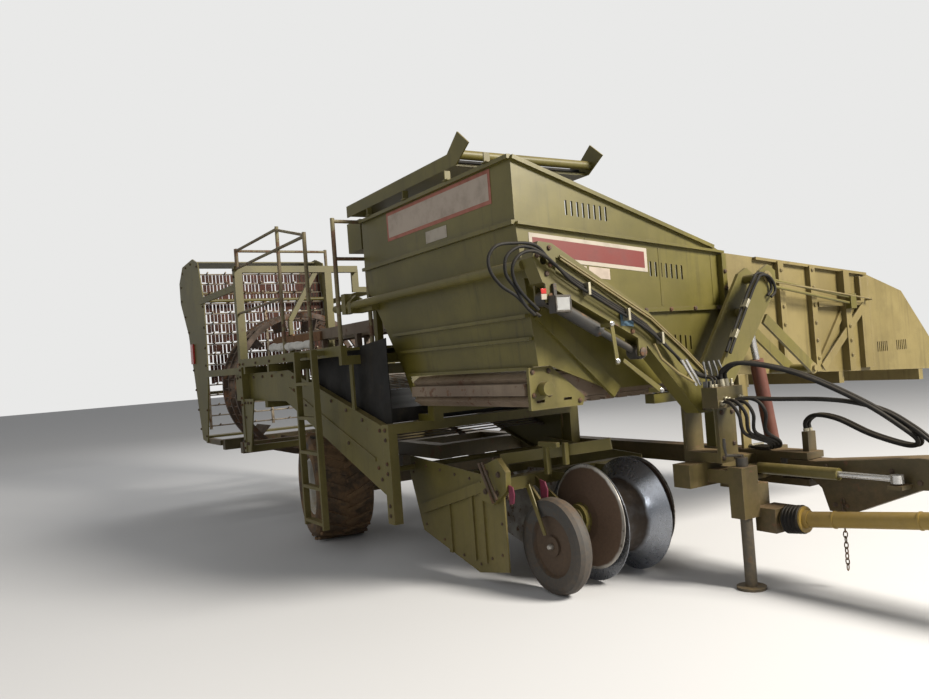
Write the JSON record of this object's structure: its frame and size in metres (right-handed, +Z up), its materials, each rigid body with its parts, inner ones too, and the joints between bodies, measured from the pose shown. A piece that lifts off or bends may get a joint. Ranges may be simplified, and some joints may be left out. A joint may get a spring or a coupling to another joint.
{
  "type": "potato harvester",
  "caption": "Trailed one-row potato harvester with a bunker on its right, a long unloading section to the left, a digging unit in front and a ring elevator behind.",
  "frame": {"origin": "on the floor under the middle of the outline", "axes": "+X forward along the drawbar, +Y to the machine's left, +Z up"},
  "size_m": [9.5998, 4.64, 2.98],
  "materials": {
    "olive_paint": "faded matt",
    "tan_paint": "faded matt",
    "bare_steel": "worn",
    "rusty_steel": "rusty",
    "rim_grey": "satin",
    "tyre_rubber": "dusty",
    "black_rubber": "matt",
    "guard_yellow": "matt",
    "black_paint": "satin"
  },
  "bodies": {
    "frame": {"chassis": "olive_paint", "axle_beam": "olive_paint", "web_channel": "olive_paint", "web_rods": "bare_steel", "front_portal": "olive_paint", "rubber_curtain": "black_rubber", "platform": "olive_paint", "picking_table": "rusty_steel", "portal_frame": "olive_paint", "handrails": "rusty_steel", "grab_rails": "rusty_steel", "ladder": "olive_paint", "elevator_housing": "olive_paint", "elevator_web": "bare_steel", "ring_carrier": "black_paint", "hopper": "olive_paint", "hopper_frame": "olive_paint", "hopper_floor": "rusty_steel", "floor_drive": "olive_paint", "near_arm": "olive_paint", "arm_cylinder": "black_paint", "infeed_head": "olive_paint", "infeed_belt": "black_rubber", "hub_pedestal": "olive_paint", "pto_guard": "guard_yellow", "hydraulic_hoses": "black_rubber"},
    "unloader": {"far_arm": "olive_paint", "unload_section": "tan_paint", "unload_floor": "rusty_steel"},
    "lift_barrel": {"lift_barrel": "rusty_steel"},
    "lift_rod": {"lift_rod": "bare_steel"},
    "digger": {"digger_frame": "olive_paint", "digger_share": "bare_steel"},
    "disc_right": {"disc_right": "bare_steel"},
    "disc_left": {"disc_left": "bare_steel"},
    "diabolo_roller": {"diabolo_roller": "bare_steel"},
    "haulm_wheel_right": {"haulm_wheel_right": "tyre_rubber"},
    "knuckle_right": {"knuckle_right": "olive_paint"},
    "knuckle_left": {"knuckle_left": "olive_paint"},
    "wheel_right": {"rim_right": "rim_grey", "tyre_right": "tyre_rubber"},
    "wheel_left": {"rim_left": "rim_grey", "tyre_left": "tyre_rubber"},
    "steering_rack": {"steering_rack": "bare_steel"},
    "ring_elevator": {"ring_elevator": "rusty_steel", "ring_pockets": "rusty_steel"},
    "drawbar": {"drawbar": "olive_paint"},
    "steer_barrel": {"steer_barrel": "olive_paint"},
    "steer_rod": {"steer_rod": "bare_steel"},
    "jack_leg": {"jack_leg": "black_paint"},
    "pto_shaft": {"pto_shaft": "bare_steel"}
  },
  "joints": [
    {"name": "unload_pivot", "type": "hinge", "parent": "frame", "child": "unloader", "pos_m": [2.715, -0.8, 1.12], "axis": [1, 0, 0], "range_deg": [-6, 45]},
    {"name": "lift_swing", "type": "hinge", "parent": "frame", "child": "lift_barrel", "pos_m": [2.725, -0.16, 0.7], "axis": [1, 0, 0], "range_deg": [-3.28, 21.34]},
    {"name": "lift_stroke", "type": "slide", "parent": "lift_barrel", "child": "lift_rod", "axis": [0, -0.178, 0.984], "range_m": [-0.052, 0.358]},
    {"name": "digger_lift", "type": "hinge", "parent": "frame", "child": "digger", "pos_m": [0.8, -1.11, 0.7], "axis": [0, -1, 0], "range_deg": [0, 8]},
    {"name": "disc_turn_right", "type": "hinge", "parent": "digger", "child": "disc_right", "pos_m": [2.18, -1.38, 0.415], "axis": [0, 1, 0], "continuous": true},
    {"name": "disc_turn_left", "type": "hinge", "parent": "digger", "child": "disc_left", "pos_m": [2.18, -0.84, 0.415], "axis": [0, 1, 0], "continuous": true},
    {"name": "roller_turn", "type": "hinge", "parent": "digger", "child": "diabolo_roller", "pos_m": [2.14, -1.11, 0.371], "axis": [0, 1, 0], "continuous": true},
    {"name": "haulm_turn_right", "type": "hinge", "parent": "digger", "child": "haulm_wheel_right", "pos_m": [2.235, -1.645, 0.295], "axis": [0, 1, 0], "continuous": true},
    {"name": "steer_right", "type": "hinge", "parent": "frame", "child": "knuckle_right", "pos_m": [-0.5, -1.59, 0.465], "axis": [0, 0, 1], "range_deg": [-6, 24]},
    {"name": "steer_left", "type": "hinge", "parent": "frame", "child": "knuckle_left", "pos_m": [-0.5, -0.07, 0.465], "axis": [0, 0, 1], "range_deg": [-6, 24]},
    {"name": "rack_slide", "type": "slide", "parent": "frame", "child": "steering_rack", "axis": [0, 1, 0], "range_m": [-0.064, 0.017]},
    {"name": "wheel_turn_right", "type": "hinge", "parent": "knuckle_right", "child": "wheel_right", "pos_m": [-0.55162, -1.91594, 0.465], "axis": [0.1564, 0.9877, 0], "continuous": true},
    {"name": "wheel_turn_left", "type": "hinge", "parent": "knuckle_left", "child": "wheel_left", "pos_m": [-0.44838, 0.25594, 0.465], "axis": [0.1564, 0.9877, 0], "continuous": true},
    {"name": "ring_turn", "type": "hinge", "parent": "frame", "child": "ring_elevator", "pos_m": [-2.95, -1.31, 1.35], "axis": [1, 0, 0], "continuous": true},
    {"name": "drawbar_swing", "type": "hinge", "parent": "frame", "child": "drawbar", "pos_m": [3.06, -0.33, 0.67], "axis": [0, 0, 1], "range_deg": [-15, 15]},
    {"name": "steer_cylinder_swing", "type": "hinge", "parent": "frame", "child": "steer_barrel", "pos_m": [2.83, -0.5, 0.665], "axis": [0, 0, 1], "range_deg": [-11.6, 11.6]},
    {"name": "steer_stroke", "type": "slide", "parent": "steer_barrel", "child": "steer_rod", "axis": [0.9999, 0.0169, 0], "range_m": [-0.047, 0.047]},
    {"name": "jack_slide", "type": "slide", "parent": "frame", "child": "jack_leg", "axis": [0, 0, 1], "range_m": [0, 0.25]},
    {"name": "pto_turn", "type": "hinge", "parent": "frame", "child": "pto_shaft", "pos_m": [3.12, -0.63, 0.4], "axis": [0.9916, 0.0816, 0.1004], "continuous": true}
  ],
  "couplings": [
    {"joint": "lift_swing", "follows": "unload_pivot", "ratio": 0.463},
    {"joint": "lift_stroke", "follows": "unload_pivot", "m_per_rad": 0.449},
    {"joint": "steer_left", "follows": "steer_right", "ratio": 1},
    {"joint": "rack_slide", "follows": "steer_right", "m_per_rad": -0.148},
    {"joint": "steer_cylinder_swing", "follows": "drawbar_swing", "ratio": 0.74},
    {"joint": "steer_stroke", "follows": "drawbar_swing", "m_per_rad": 0.165}
  ]
}
